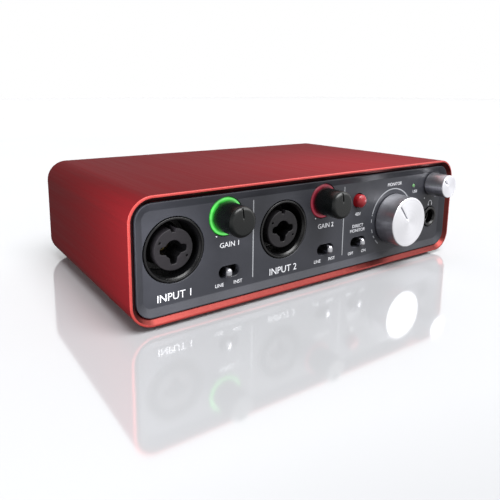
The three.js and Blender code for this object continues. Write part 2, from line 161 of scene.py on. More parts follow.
class Shell:
    """A closed surface made of rings of points, in millimetres."""

    def __init__(self):
        self.mesh = bmesh.new()

    def ring(self, points):
        return [self.mesh.verts.new([c * MM for c in p]) for p in points]

    def flat_ring(self, outline, grow, y):
        return self.ring([(x, y, z) for x, z in outline(grow)])

    def bridge(self, first, second):
        for i, vert in enumerate(first):
            j = (i + 1) % len(first)
            self.mesh.faces.new((vert, first[j], second[j], second[i]))

    def loft(self, outline, profile, closed=False):
        """Rings of an outline at each (grow, y) of a profile; gives the first and the last ring."""
        rings = [self.flat_ring(outline, grow, y) for grow, y in profile]
        for a, b in zip(rings, rings[1:]):
            self.bridge(a, b)
        if closed:
            self.bridge(rings[-1], rings[0])
        return rings[0], rings[-1]

    def fill(self, outer, *holes):
        """A flat cap on a ring, with openings where the other rings are."""
        loops = [[vert.co for vert in ring] for ring in (outer, *holes)]
        verts = [vert for ring in (outer, *holes) for vert in ring]
        for triangle in tessellate_polygon(loops):
            self.mesh.faces.new([verts[i] for i in triangle])

    def solid(self, outline, profile):
        """Rings of an outline along a profile, with both ends filled."""
        first, last = self.loft(outline, profile)
        self.fill(first)
        self.fill(last)

    def prism(self, outline, front, back, round_front=0.0, round_back=0.0):
        """A solid of an outline between two depths, with its rims rounded by so much."""
        self.solid(outline, rim(front, round_front) + rim(back, -round_back)[::-1])

    def turned(self, x, z, profile, count):
        """A solid of revolution about Y from (radius, y) points; ends on the axis or closes."""
        closed = profile[0][0] > 0
        body = profile if closed else profile[1:-1]
        first, last = self.loft(circle(x, z, 0, count), body, closed)
        if not closed:
            for ring, (_, y) in ((first, profile[0]), (last, profile[-1])):
                hub = self.mesh.verts.new((x * MM, y * MM, z * MM))
                for i, vert in enumerate(ring):
                    self.mesh.faces.new((hub, vert, ring[(i + 1) % count]))

    def build(self, name, material):
        bmesh.ops.recalc_face_normals(self.mesh, faces=self.mesh.faces)
        if self.mesh.calc_volume(signed=True) < 0:
            bmesh.ops.reverse_faces(self.mesh, faces=self.mesh.faces)
        data = bpy.data.meshes.new(name)
        self.mesh.to_mesh(data)
        self.mesh.free()
        return shown(name, data, material)


def rim(y, radius):
    """The (grow, y) points of a rounded rim that starts at depth y.

    The rounding runs towards +Y, or towards -Y where the radius is negative.
    """
    if radius == 0:
        return [(0, y)]
    steps = 4
    inward = abs(radius)
    turns = [math.pi / 2 * k / steps for k in range(steps + 1)]
    return [(inward * (math.sin(a) - 1), y + radius * (1 - math.cos(a))) for a in turns]


def turned_piece(name, material, x, z, profile, count):
    """A piece of one solid of revolution."""
    shell = Shell()
    shell.turned(x, z, profile, count)
    return shell.build(name, material)


def smooth(data):
    data.polygons.foreach_set("use_smooth", [True] * len(data.polygons))
    data.set_sharp_from_angle(angle=math.radians(CREASE))


def shown(name, data, material):
    """A smooth-shaded object of a mesh, in one material."""
    smooth(data)
    data.materials.append(material)
    piece = bpy.data.objects.new(name, data)
    bpy.context.scene.collection.objects.link(piece)
    weighted = piece.modifiers.new("even_shading", "WEIGHTED_NORMAL")
    weighted.keep_sharp = True
    return piece


def place(piece, body, slot, *nodes):
    """Lets a piece ride on a body, in the place of the nodes, which it hides. The slot is not used.
    """
    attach(piece, body)
    if nodes:
        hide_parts(*nodes)


# ---- Materials ----


class Nodes:
    """A node tree, built from short calls."""

    def __init__(self, owner):
        owner.use_nodes = True
        self.tree = owner.node_tree

    def add(self, kind, **settings):
        node = self.tree.nodes.new(kind)
        for key, value in settings.items():
            setattr(node, key, value)
        return node

    def link(self, source, target):
        self.tree.links.new(source, target)

    def maths(self, operation, *values):
        """The result of an operation on values, each a number or another node's output."""
        node = self.add("ShaderNodeMath", operation=operation)
        for socket, value in zip(node.inputs, values):
            if isinstance(value, (int, float)):
                socket.default_value = value
            else:
                self.link(value, socket)
        return node.outputs[0]

    def ramp(self, factor, stops):
        """A colour for each (position, colour) stop along a factor."""
        node = self.add("ShaderNodeValToRGB")
        elements = node.color_ramp.elements
        while len(elements) < len(stops):
            elements.new(0.5)
        for element, (position, colour) in zip(elements, stops):
            element.position = position
            element.color = (*colour, 1)
        self.link(factor, node.inputs["Fac"])
        return node.outputs["Color"]

    def between(self, value, low, high, start=0.3, end=0.7):
        """A value from start to end, moved to the range from low to high."""
        node = self.add("ShaderNodeMapRange")
        node.inputs["From Min"].default_value = start
        node.inputs["From Max"].default_value = end
        node.inputs["To Min"].default_value = low
        node.inputs["To Max"].default_value = high
        self.link(value, node.inputs["Value"])
        return node.outputs["Result"]


class Surface(Nodes):
    """A material's tree, with a Principled shader."""

    def __init__(self, name, **sockets):
        self.material = bpy.data.materials.new(name)
        super().__init__(self.material)
        self.shader = self.tree.nodes["Principled BSDF"]
        for socket, value in sockets.items():
            self.shader.inputs[socket.replace("_", " ")].default_value = value
        self.place = self.add("ShaderNodeTexCoord").outputs["Object"]

    def stretched(self, x=1.0, y=1.0, z=1.0):
        """Object coordinates scaled per axis, for a pattern that runs along one of them."""
        mapping = self.add("ShaderNodeMapping")
        mapping.inputs["Scale"].default_value = (x, y, z)
        self.link(self.place, mapping.inputs["Vector"])
        return mapping.outputs["Vector"]

    def noise(self, scale, detail, roughness, at=None):
        node = self.add("ShaderNodeTexNoise")
        node.inputs["Scale"].default_value = scale
        node.inputs["Detail"].default_value = detail
        node.inputs["Roughness"].default_value = roughness
        self.link(at or self.place, node.inputs["Vector"])
        return node.outputs["Fac"]

    def radius(self, name):
        """The distance from the axis that runs along Y through the middle of a CAD node."""
        x, z = centre(name)
        moved = self.add("ShaderNodeVectorMath", operation="SUBTRACT")
        moved.inputs[1].default_value = (x * MM, 0, z * MM)
        self.link(self.place, moved.inputs[0])
        flat = self.add("ShaderNodeVectorMath", operation="MULTIPLY")
        flat.inputs[1].default_value = (1, 0, 1)
        self.link(moved.outputs[0], flat.inputs[0])
        length = self.add("ShaderNodeVectorMath", operation="LENGTH")
        self.link(flat.outputs[0], length.inputs[0])
        return length.outputs["Value"]

    def round_y(self):
        """Turns the grain of the surface round the piece's own axis along Y."""
        tangent = self.add("ShaderNodeTangent", direction_type="RADIAL", axis="Y")
        self.link(tangent.outputs["Tangent"], self.shader.inputs["Tangent"])

    def spread(self, value):
        """One number as a place along a line, for a pattern that changes only with it."""
        node = self.add("ShaderNodeCombineXYZ")
        self.link(value, node.inputs["X"])
        return node.outputs["Vector"]

    def bump(self, height, distance, strength):
        node = self.add("ShaderNodeBump")
        node.inputs["Strength"].default_value = strength
        node.inputs["Distance"].default_value = distance
        self.link(height, node.inputs["Height"])
        return node.outputs["Normal"]

    def colour(self, source):
        self.link(source, self.shader.inputs["Base Color"])

    def rough(self, source):
        self.link(source, self.shader.inputs["Roughness"])

    def glow(self, source):
        self.link(source, self.shader.inputs["Emission Color"])

    def normal(self, source):
        self.link(source, self.shader.inputs["Normal"])


def srgb(*levels):
    """8-bit sRGB levels as linear light."""

    def linear(level):
        c = level / 255
        return c / 12.92 if c <= 0.04045 else ((c + 0.055) / 1.055) ** 2.4

    return tuple(linear(level) for level in levels)


SCRATCHES, STREAKS = 2400, 620  # noise scales across the grain of a brushed metal
LATHE_LINES = 1500  # noise scale along a turned metal's axis
FACE_RINGS = 1900  # noise scale outwards across a turned face


def brushed_metal(name, dark, light, roughness, **sockets):
    """Metal with fine scratches along Y, over broader streaks that run the same way."""
    nodes = Surface(name, **sockets)
    lines = nodes.noise(SCRATCHES, 4, 0.7, nodes.stretched(y=0.01))
    streaks = nodes.noise(STREAKS, 3, 0.6, nodes.stretched(y=0.02))
    blended = nodes.maths("MULTIPLY_ADD", lines, 0.5, nodes.maths("MULTIPLY", streaks, 0.5))
    nodes.colour(nodes.ramp(blended, [(0.32, dark), (0.68, light)]))
    nodes.rough(nodes.between(streaks, roughness * 0.92, roughness * 1.1))
    nodes.normal(nodes.bump(lines, 0.00003, 0.3))
    return nodes.material


def turned_metal(name, dark, light, roughness):
    """Metal turned on a lathe about Y: fine rings along the length of each piece."""
    nodes = Surface(name, Metallic=1.0, Anisotropic=0.4, Anisotropic_Rotation=0.25)
    nodes.round_y()
    lines = nodes.noise(LATHE_LINES, 3, 0.6, nodes.stretched(x=0.01, z=0.01))
    nodes.colour(nodes.ramp(lines, [(0.3, dark), (0.7, light)]))
    nodes.rough(nodes.between(nodes.noise(90, 2, 0.5), roughness * 0.9, roughness * 1.1))
    nodes.normal(nodes.bump(lines, 0.000004, 0.05))
    return nodes.material


def spun_metal(name, node, dark, light, roughness):
    """A turned face: fine rings round the axis of one node."""
    nodes = Surface(name, Metallic=1.0, Anisotropic=0.2, Anisotropic_Rotation=0.25)
    nodes.round_y()
    lines = nodes.noise(FACE_RINGS, 3, 0.6, nodes.spread(nodes.radius(node)))
    nodes.colour(nodes.ramp(lines, [(0.3, dark), (0.7, light)]))
    nodes.rough(nodes.between(lines, roughness * 0.9, roughness * 1.1))
    nodes.normal(nodes.bump(lines, 0.00001, 0.2))
    return nodes.material


def moulded(name, dark, light, roughness, texture=1400.0, depth=0.00004, **sockets):
    """Moulded plastic, paint or rubber: a fine even texture and a slight change of tone."""
    nodes = Surface(name, **sockets)
    grain = nodes.noise(texture, 3, 0.6)
    tone = nodes.noise(60, 3, 0.5)
    nodes.colour(nodes.ramp(tone, [(0.3, dark), (0.7, light)]))
    nodes.rough(nodes.between(grain, roughness - 0.05, roughness + 0.07))
    nodes.normal(nodes.bump(grain, depth, 0.5))
    return nodes.material


def lit(name, dark, light, glow, strength, roughness):
    """Translucent plastic with a light behind it, brighter in some places than in others."""
    nodes = Surface(name, Roughness=roughness, Emission_Strength=strength)
    tone = nodes.noise(220, 2, 0.5)
    nodes.colour(nodes.ramp(tone, [(0.3, dark), (0.7, light)]))
    dimmer = tuple(0.75 * level for level in glow)
    nodes.glow(nodes.ramp(tone, [(0.2, dimmer), (0.8, glow)]))
    nodes.normal(nodes.bump(nodes.noise(900, 2, 0.5), 0.00002, 0.3))
    return nodes.material


GLOWING = (5.6, 7.4)  # inner and outer radius of the glow in a light ring


def lit_ring(name, node, edge, dim, glow, strength):
    """A light pipe round one node's axis: bright along its middle and deep in colour at its rims."""
    nodes = Surface(name, Roughness=0.35, Emission_Strength=strength)
    inner, outer = (radius * MM for radius in GLOWING)
    across = nodes.between(nodes.radius(node), 0, 1, inner, outer)
    stops = [(0, edge), (0.3, dim), (0.55, glow), (0.72, glow), (0.9, dim), (1, edge)]
    nodes.glow(nodes.ramp(across, stops))
    nodes.colour(nodes.ramp(nodes.noise(300, 2, 0.5), [(0.3, edge), (0.7, dim)]))
    nodes.normal(nodes.bump(nodes.noise(900, 2, 0.5), 0.00002, 0.3))
    return nodes.material


RED_METAL = brushed_metal(
    "red_anodised", srgb(93, 17, 22), srgb(104, 22, 27), 0.48,
    Metallic=0.5, Specular_IOR_Level=0.06, Specular_Tint=(*srgb(160, 66, 80), 1),
)
# The rounded edges at both mouths: a paler red that is a painted highlight.
RED_EDGE_HIGHLIGHT = brushed_metal("red_edge_painted_highlight", srgb(150, 54, 52), srgb(162, 62, 58), 0.4, Metallic=0.5)
RED_LIP = brushed_metal("red_machined", srgb(100, 42, 40), srgb(114, 52, 48), 0.33, Metallic=1.0)
PANEL_PAINT = moulded(
    "panel_paint", srgb(40, 41, 46), srgb(49, 50, 56), 0.42, 2200, Specular_IOR_Level=0.35
)
BLACK_PLASTIC = moulded("black_plastic", srgb(4, 4, 5), srgb(8, 8, 9), 0.28)
CORE_PLASTIC = moulded(
    "core_plastic", srgb(20, 19, 21), srgb(30, 28, 31), 0.55, Specular_IOR_Level=0.3
)
SOFT_BLACK = moulded("soft_black", srgb(3, 4, 4), srgb(6, 8, 8), 0.28, 2600, 0.00001)
SILVER = turned_metal("silver", srgb(212, 212, 219), srgb(222, 222, 228), 0.33)
MONITOR_FACE = spun_metal(
    "monitor_face", "monitor_knob", srgb(244, 244, 249), srgb(250, 250, 254), 0.5
)
PHONES_FACE = spun_metal(
    "phones_face", "phones_knob", srgb(238, 238, 244), srgb(246, 246, 251), 0.5
)
CHROME = turned_metal("lever_chrome", srgb(196, 196, 202), srgb(216, 216, 222), 0.2)
STEEL = brushed_metal("steel", srgb(150, 152, 156), srgb(186, 188, 192), 0.32, Metallic=1.0)
GREEN_LIGHT = lit_ring(
    "green_light", "gain_1_halo", srgb(6, 46, 10), srgb(40, 140, 44), srgb(116, 226, 116), 0.8
)
RED_LIGHT = lit_ring(
    "red_light", "gain_2_halo", srgb(44, 6, 12), srgb(104, 22, 36), srgb(160, 56, 74), 0.55
)
BUTTON_RED = lit("button_red", srgb(104, 12, 20), srgb(136, 20, 28), srgb(150, 16, 26), 0.2, 0.28)
USB_GREEN = lit("usb_green", srgb(70, 110, 70), srgb(90, 130, 90), srgb(120, 180, 110), 0.35, 0.3)
RUBBER = moulded("rubber", srgb(18, 18, 18), srgb(28, 28, 28), 0.85, 900, 0.00008)
BOARD = moulded("circuit_board", srgb(10, 58, 36), srgb(16, 76, 46), 0.4, 500)
CHIP = moulded("component_black", srgb(20, 20, 22), srgb(32, 32, 34), 0.5, 1200)
INK = moulded("printed_ink", srgb(192, 193, 198), srgb(212, 213, 217), 0.55, 3000, 0.00001)
DIM_INK = moulded("printed_line", srgb(128, 130, 134), srgb(144, 146, 150), 0.55, 3000, 0.00001)
CONTACT = turned_metal("contact_metal", srgb(170, 150, 96), srgb(206, 186, 128), 0.3)
WHITE_PLASTIC = moulded("white_plastic", srgb(214, 215, 214), srgb(232, 233, 232), 0.4, 1200)

# ---- Sleeve and panels ----

SLEEVE_CORNER = 9  # outer radius of the sleeve's corners
PANEL_CORNER = 6.2  # radius of the panels' corners
WALL = 2.5  # of the sleeve
EDGE = 0.8  # the rounded edge of the sleeve's mouths
RIM, BACK_RIM = 0.85, 1.7  # how far in the flat ring of each mouth reaches
LIP, BACK_LIP = 1.7, 0.9  # depth of the funnel at each mouth
DISH = 2.95  # width of the front panel's dished border
MARGIN = 0.9  # room on the panel's flat for the fillet where the dish begins
SLOT = (9.2, 4.6)  # a slide switch's slot
PAST = 1  # a cutter reaches this far past a surface


def between_corners(low, high, radius, steps):
    """The rounded outline that fills the box between two corners."""
    middle_x, middle_z = (low.x + high.x) / 2, (low.z + high.z) / 2
    return rounded_rect(middle_x, middle_z, high.x - low.x, high.z - low.z, radius, steps)


def sleeve():
    """The extruded tube, with a painted highlight in paler red on the rounded edges at both mouths
    and a machined funnel in front.
    """
    front, back = SLEEVE_LOW.y, SLEEVE_HIGH.y
    profile = filleted(
        [
            (0, front, EDGE),
            (-RIM, front, 0.12),
            (-WALL, front + LIP, 0.25),
            (-WALL, back - BACK_LIP, 0.25),
            (-BACK_RIM, back, 0.12),
            (0, back, EDGE),
        ],
        closed=True,
        steps=6,
    )
    shell = Shell()
    shell.loft(between_corners(SLEEVE_LOW, SLEEVE_HIGH, SLEEVE_CORNER, 16), profile, closed=True)
    piece = shell.build("sleeve_skin", RED_METAL)
    piece.data.materials.append(RED_LIP)
    piece.data.materials.append(RED_EDGE_HIGHLIGHT)
    lip_index, highlight_index = 1, 2
    around = len(piece.data.polygons) // len(profile)
    for part in piece.data.polygons:
        depth = part.center.y / MM
        inset = -profile[part.index // around][0]
        at_back = depth > back - EDGE
        # The rounded edges at both mouths take the paler red of the painted highlight.
        if inset < RIM and (depth < front + EDGE or at_back):
            part.material_index = highlight_index
        elif depth < front + LIP - 0.1 or at_back:
            part.material_index = lip_index
    place(piece, "chassis", "red_anodised", "sleeve")


def punched(solid, cutters):
    """Cuts each of one mesh's closed bodies out of a solid, then drops the cutters."""
    cut = solid.modifiers.new("holes", "BOOLEAN")
    cut.operation = "DIFFERENCE"
    cut.solver = "EXACT"
    cut.object = cutters
    solid.modifiers.move(len(solid.modifiers) - 1, 0)
    drawn = solid.evaluated_get(bpy.context.evaluated_depsgraph_get())
    mesh = bmesh.new()
    mesh.from_mesh(bpy.data.meshes.new_from_object(drawn))
    bmesh.ops.remove_doubles(mesh, verts=mesh.verts, dist=WELD)
    bmesh.ops.dissolve_degenerate(mesh, edges=mesh.edges, dist=WELD)
    mesh.to_mesh(solid.data)
    mesh.free()
    smooth(solid.data)
    solid.modifiers.remove(cut)
    bpy.data.objects.remove(cutters)


def cut_through(shell, outline, outside, face, inside, chamfer=0.18):
    """A cutter from outside a panel's face to inside it, wider at the face by a small chamfer."""
    way = 1 if inside > face else -1
    profile = [(chamfer, outside), (chamfer, face), (0, face + way * chamfer), (0, inside)]
    shell.solid(outline, profile)


def punched_panel(name, node, low, high, profile, holes, *depths):
    """A panel with its holes cut from outside its face to its inside, at three depths."""
    shell = Shell()
    shell.solid(between_corners(low, high, PANEL_CORNER, 12), profile)
    panel = shell.build(name, PANEL_PAINT)
    cutters = Shell()
    for outline in holes:
        cut_through(cutters, outline, *depths)
    punched(panel, cutters.build("holes", PANEL_PAINT))
    place(panel, "chassis", "panel_grey", node)


SWITCHES = ("switch_1", "switch_2", "switch_3")
INPUTS = ("input_1", "input_2")
GAINS = ("gain_1", "gain_2")


def front_panel():
    """The panel with its dished border, and a hole for every part that comes through it."""
    profile = filleted(
        [
            (-DISH - MARGIN, FACE, 0),
            (-DISH, FACE, 0.8),
            (-0.35, PANEL_LOW.y, 0.3),
            (0, PANEL_LOW.y, 0.12),
            (0, PANEL_BACK, 0),
        ],
        steps=5,
    )
    # Each round hole is a node, a radius and a number of points.
    round_holes = [(name + "_core", 12.05, 96) for name in INPUTS]
    round_holes += [(name + "_halo", 7.5, 72) for name in GAINS]
    round_holes += [(name + "_shaft", 3.6, 32) for name in ("monitor", "phones")]
    round_holes += [("phones_jack_collar", 5.2, 56), ("phantom_button", 3.3, 48)]
    round_holes += [("usb_light", 0.95, 24)]
    holes = [circle(*centre(node), radius, count) for node, radius, count in round_holes]
    slot_end = SLOT[1] / 2 - 0.01
    holes += [rounded_rect(*centre(name + "_body"), *SLOT, slot_end, 8) for name in SWITCHES]
    depths = (PANEL_LOW.y - PAST, FACE, PANEL_BACK + PAST)
    punched_panel(
        "front_panel_face", "front_panel", PANEL_LOW, PANEL_HIGH, profile, holes, *depths
    )


SCREWS = [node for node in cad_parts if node.startswith("rear_screw")]
LINE_OUTS = ("line_out_left", "line_out_right")


def rear_panel():
    """The flat panel at the back, with its holes."""
    profile = rim(REAR_FACE, -0.3) + [(0, REAR_LOW.y)]
    holes = [circle(*centre(name + "_nut"), 4.8, 48) for name in LINE_OUTS]
    holes += [circle(*centre(name), 1.3, 20) for name in SCREWS]
    holes += [rounded_rect(*centre("usb_port_shell"), 12.6, 11.6, 0.6, 4)]
    holes += [rounded_rect(*centre("lock_plate"), 7, 3, 0.8, 5)]
    depths = (REAR_FACE + PAST, REAR_FACE, REAR_LOW.y - PAST)
    punched_panel("rear_panel_face", "rear_panel", REAR_LOW, REAR_HIGH, profile, holes, *depths)


# ---- Input sockets ----

WELL = 12  # depth of the groove between an input's shell and its core
SHELL_OUTER = 11.75
SHELL_INNER = 10.3
SHELL_HOLD = 8.3  # where the shell closes round its core, behind the groove
CORE = 7.6
KEY_HALF, KEY_DEPTH = 1.15, 1.3  # half the width of the core's key notch, and its depth
LOBE, LOBE_ANGLE = 1.95, 0.36  # how far a contact lobe reaches out, and half its width in radians
CORE_POINTS = 120  # of each ring of the core, so that they can be bridged
JACK_BORE = 3.2


def input_shell(name):
    """The black ring of a combination socket, with its bevelled mouth."""
    x, z = centre(name + "_core")
    front = box_mm(name + "_shell")[0].y
    floor = front + WELL
    back = floor + 8
    profile = filleted(
        [
            (SHELL_OUTER, front, 0.25),
            (11.0, front, 0.1),
            (10.85, front + 0.35, 0.1),
            (SHELL_INNER, front + 1.1, 0.2),
            (SHELL_INNER, floor, 0.4),
            (SHELL_HOLD, floor, 0),
            (SHELL_HOLD, back, 0),
            (SHELL_OUTER, back, 0),
        ],
        closed=True,
    )
    ring = turned_piece(name + "_ring", BLACK_PLASTIC, x, z, profile, 96)
    place(ring, "chassis", "black_plastic", name + "_shell")


def contact_ring(name, x, z, radius, start, end):
    """The sprung ring inside a jack bore, between two depths."""
    inner = radius - 0.3
    corners = [(inner, start, 0.1), (radius, start, 0.1), (radius, end, 0.1), (inner, end, 0.1)]
    profile = filleted(corners, closed=True)
    place(turned_piece(name, CONTACT, x, z, profile, 48), "chassis", "steel")


def keyed_circle(x, z, radius):
    """The socket core's outline, with its key notch at the top."""

    def points(grow=0):
        made = []
        for i in range(CORE_POINTS):
            a = 2 * math.pi * i / CORE_POINTS
            in_notch = abs(math.cos(a)) * radius < KEY_HALF and math.sin(a) > 0
            notch = KEY_DEPTH if in_notch else 0
            r = radius - notch + grow
            made.append((x + r * math.cos(a), z + r * math.sin(a)))
        return made

    return points


def lobed_circle(x, z, radius):
    """The jack bore's outline with the three contact lobes that open into it."""

    def points(grow=0):
        made = []
        for i in range(CORE_POINTS):
            a = 2 * math.pi * i / CORE_POINTS
            bulge = 0.0
            for lobe in (0, math.pi, 1.5 * math.pi):
                off = abs((a - lobe + math.pi) % (2 * math.pi) - math.pi)
                bulge = max(bulge, LOBE * math.exp(-((off / LOBE_ANGLE) ** 4)))
            r = radius + bulge + grow
            made.append((x + r * math.cos(a), z + r * math.sin(a)))
        return made

    return points


def input_core(name):
    """The grey core of a combination socket: lobed mouth, jack bore, key notch and two dimples."""
    x, z = centre(name + "_core")
    front = box_mm(name + "_core")[0].y
    shelf, bottom, back = front + 9, front + 17, front + 18
    shell = Shell()
    face_outer, back_outer = shell.loft(keyed_circle(x, z, CORE), rim(front, 0.3) + [(0, back)])
    shell.fill(back_outer)
    flared = [(-grow, y) for grow, y in rim(front, 0.35)]
    mouth, deep = shell.loft(lobed_circle(x, z, 3.3), flared + [(0, shelf)])
    bore, end = shell.loft(circle(x, z, 3.25, CORE_POINTS), [(0, shelf), (0, bottom)])
    dimples = []
    for turn in (150, -30):
        a = math.radians(turn)
        spot = circle(x + 6.1 * math.cos(a), z + 6.1 * math.sin(a), 0.5, 16)
        first, last = shell.loft(spot, [(0.1, front), (0, front + 0.1), (0, front + 0.8)])
        dimples.append(first)
        shell.fill(last)
    shell.fill(face_outer, mouth, *dimples)
    shell.bridge(deep, bore)
    shell.fill(end)
    piece = shell.build(name + "_insert", CORE_PLASTIC)
    piece.data.materials.append(BLACK_PLASTIC)
    past_lobes = 5.6
    for part in piece.data.polygons:
        across, depth, up = part.center / MM
        in_bore = math.hypot(across - x, up - z) < past_lobes and depth > front + 0.3
        part.material_index = 1 if in_bore else 0
    place(piece, "chassis", "core_grey", name + "_core")
    contact_ring(name + "_contact", x, z, JACK_BORE, front + 11, front + 13.5)


# ---- Controls ----


TAPER = 0.97  # a knob's width at its face, as a part of its width at its base
GROOVE_WIDTH, GROOVE_DEPTH = 0.6, 0.45


def knob(name, material, slot, pointer, turn, rounding, face_material=None):
    """A turned knob with a pointer groove in its face.

    The pointer is its inner and outer radius; it points at an angle clockwise from the top.
    """
    x, z = centre(name + "_knob")
    low, high = box_mm(name + "_knob")
    face, back = low.y, high.y
    base = (high.x - low.x) / 2
    side = [(0, face, 0), (TAPER * base, face, rounding), (base, back, 0.3), (0, back, 0)]
    piece = turned_piece(name + "_knob_turned", material, x, z, filleted(side, steps=6), 96)
    inner, outer = pointer
    stem = rounded_rect(0, (inner + outer) / 2, GROOVE_WIDTH, outer - inner, 0.28, 5)
    sine, cosine = math.sin(math.radians(turn)), math.cos(math.radians(turn))

    def groove(grow=0):
        return [(x + u * cosine + v * sine, z - u * sine + v * cosine) for u, v in stem(grow)]

    cutter = Shell()
    cut_through(cutter, groove, face - PAST, face, face + GROOVE_DEPTH, 0.1)
    punched(piece, cutter.build("groove", material))
    if face_material:
        piece.data.materials.append(face_material)
        for part in piece.data.polygons:
            on_face = part.center.y < (face + rounding * 0.4) * MM
            part.material_index = 1 if on_face else 0
    place(piece, name, slot, name + "_knob")


def light_ring(name, material, slot):
    x, z = centre(name + "_halo")
    inner, outer = 4, 7.3
    corners = [(inner, FACE, 0.2), (outer, FACE, 0.5), (outer, PANEL_BACK, 0), (inner, PANEL_BACK, 0)]
    profile = filleted(corners, closed=True)
    ring = turned_piece(name + "_light_ring", material, x, z, profile, 96)
    place(ring, "chassis", slot, name + "_halo")


def lever(name):
    """The rounded tip of a slide switch's lever."""
    x, z = centre(name + "_lever")
    low, high = box_mm(name + "_lever")
    shell = Shell()
    shell.prism(rounded_rect(x, z, 2.8, 3.7, 1.35, 8), low.y, high.y, 1.1)
    place(shell.build(name + "_tip", CHROME), name, "switch_white", name + "_lever")


def phantom_cap():
    """The domed push button."""
    x, z = centre("phantom_button")
    front = box_mm("phantom_button")[0].y
    radius, crown, back, steps = 2.9, 1.5, front + 6, 12
    turns = [math.pi / 2 * k / steps for k in range(steps + 1)]
    dome = [(radius * math.sin(a), front + crown * (1 - math.cos(a))) for a in turns]
    profile = dome + [(radius, back), (0, back)]
    cap = turned_piece("phantom_cap", BUTTON_RED, x, z, profile, 64)
    place(cap, "phantom", "button_red", "phantom_button")


def usb_lens():
    x, z = centre("usb_light")
    front = box_mm("usb_light")[0].y
    shell = Shell()
    shell.prism(circle(x, z, 0.8, 32), front, PANEL_BACK, 0.3)
    place(shell.build("usb_light_lens", USB_GREEN), "chassis", "green_lens", "usb_light")


def phones_bezel():
    """The collar of the headphone jack, bevelled towards its bore."""
    x, z = centre("phones_jack_collar")
    low, high = box_mm("phones_jack_collar")
    inner, outer = 3.3, 4.95
    profile = filleted(
        [
            (inner, low.y + 0.8, 0.2),
            (3.9, low.y, 0.15),
            (outer, low.y, 0.35),
            (outer, high.y, 0),
            (inner, high.y, 0),
        ],
        closed=True,
    )
    bezel = turned_piece("phones_jack_bezel", BLACK_PLASTIC, x, z, profile, 72)
    place(bezel, "chassis", "black_plastic", "phones_jack_collar")


def jack_body(node, front, back, neck_radius=0):
    """A jack's moulded body, its bore open at y = front, with a contact ring inside.

    With a neck, the body proper stands just inside the rear panel and the neck comes through it.
    """
    x, z = centre(node)
    low, high = box_mm(node)
    way = 1 if back > front else -1
    outline = rounded_rect(x, z, high.x - low.x, high.z - low.z, 0.4, 3)
    shell = Shell()
    if neck_radius:
        shoulder = REAR_LOW.y - 0.3
        neck = circle(x, z, neck_radius, 48)
        outer_ring, neck_end = shell.loft(neck, rim(front, -0.4) + [(0, shoulder)])
        body_ring, body_end = shell.loft(outline, [(0, shoulder), (0, back)])
        shell.fill(body_ring, neck_end)
    else:
        outer_ring, body_end = shell.loft(outline, [(0, front), (0, back)])
    bore = [(0.3, front), (0, front + way * 0.3), (0, back - way * 1.5)]
    mouth, end = shell.loft(circle(x, z, JACK_BORE, 48), bore)
    shell.fill(outer_ring, mouth)
    shell.fill(end)
    shell.fill(body_end)
    name = node + "_body"
    place(shell.build(name, BLACK_PLASTIC), "chassis", "black_plastic", node)
    contact_ring(name + "_contact", x, z, JACK_BORE - 0.05, front + way * 4, front + way * 6.5)


# ---- Rear fittings and feet ----


def line_out_nut(name):
    """The hexagon nut of a line output, chamfered on its outer corners and round its hole."""
    x, z = centre(name + "_nut")
    low, high = box_mm(name + "_nut")
    back, front = low.y, high.y
    shell = Shell()
    hexagon = polygon(x, z, 6.6, 6)
    outer_back, outer_front = shell.loft(hexagon, [(0, back), (0, front - 0.5), (-0.5, front)])
    hole = circle(x, z, 4.5, 36)
    hole_back, hole_front = shell.loft(hole, [(0, back), (0, front - 0.3), (0.3, front)])
    shell.fill(outer_back, hole_back)
    shell.fill(outer_front, hole_front)
    place(shell.build(name + "_hex_nut", STEEL), "chassis", "steel", name + "_nut")


def rear_screw(name):
    """A pan head with a cross recess, on its shank."""
    x, z = centre(name)
    low, high = box_mm(name)
    top = high.y
    head, shank = 2.0, 1.2

    def cross(grow=0):
        arm, half = 1.15 + grow, 0.28 + grow
        corner = [(half, half), (half, arm), (-half, arm)]
        quarters = [(1, 0), (0, 1), (-1, 0), (0, -1)]
        return [(x + u * c - v * s, z + u * s + v * c) for c, s in quarters for u, v in corner]

    profile = filleted(
        [
            (1.4, top, 0),
            (head, top - 0.35, 0.3),
            (head, REAR_FACE, 0.1),
            (shank, REAR_FACE, 0),
            (shank, low.y, 0),
        ]
    )
    shell = Shell()
    first, last = shell.loft(circle(x, z, 0, 36), profile)
    mouth, floor = shell.loft(cross, [(0, top), (-0.12, top - 0.9)])
    shell.fill(first, mouth)
    shell.fill(floor)
    shell.fill(last)
    place(shell.build(name + "_cross_head", STEEL), "chassis", "steel", name)


def usb_port():
    """The folded steel shell of the USB port, and in it the tongue with its four contacts."""
    x, z = centre("usb_port_shell")
    low, high = box_mm("usb_port_shell")
    outline = rounded_rect(x, z, high.x - low.x, high.z - low.z, 1.0, 5)
    sheet = 0.7
    corners = [(0, low.y, 0), (0, high.y, 0.2), (-sheet, high.y, 0.25), (-sheet, low.y, 0)]
    shell = Shell()
    shell.loft(outline, filleted(corners, closed=True), closed=True)
    place(shell.build("usb_port_can", STEEL), "chassis", "steel", "usb_port_shell")

    x, z = centre("usb_port_tongue")
    low, high = box_mm("usb_port_tongue")
    width, height = 5.6, 3.2  # of the tongue that stands on the block at the back
    tongue = Shell()
    block = rounded_rect(x, z, high.x - low.x, high.z - low.z, 0.4, 4)
    tongue.prism(block, low.y, low.y + 6.5, 0, 0.2)
    tongue.prism(rounded_rect(x, z, width, height, 0.4, 4), low.y + 5, high.y, 0, 0.4)
    insert = tongue.build("usb_port_insert", WHITE_PLASTIC)
    place(insert, "chassis", "black_plastic", "usb_port_tongue")

    contacts = Shell()
    for side in (-1, 1):
        for face in (-1, 1):
            strip_z = z + face * (height / 2 + 0.02)
            strip = rounded_rect(x + side * width / 4, strip_z, 1.1, 0.16, 0.05, 2)
            contacts.prism(strip, low.y + 6, high.y - 0.8)
    place(contacts.build("usb_port_contacts", CONTACT), "chassis", "steel")


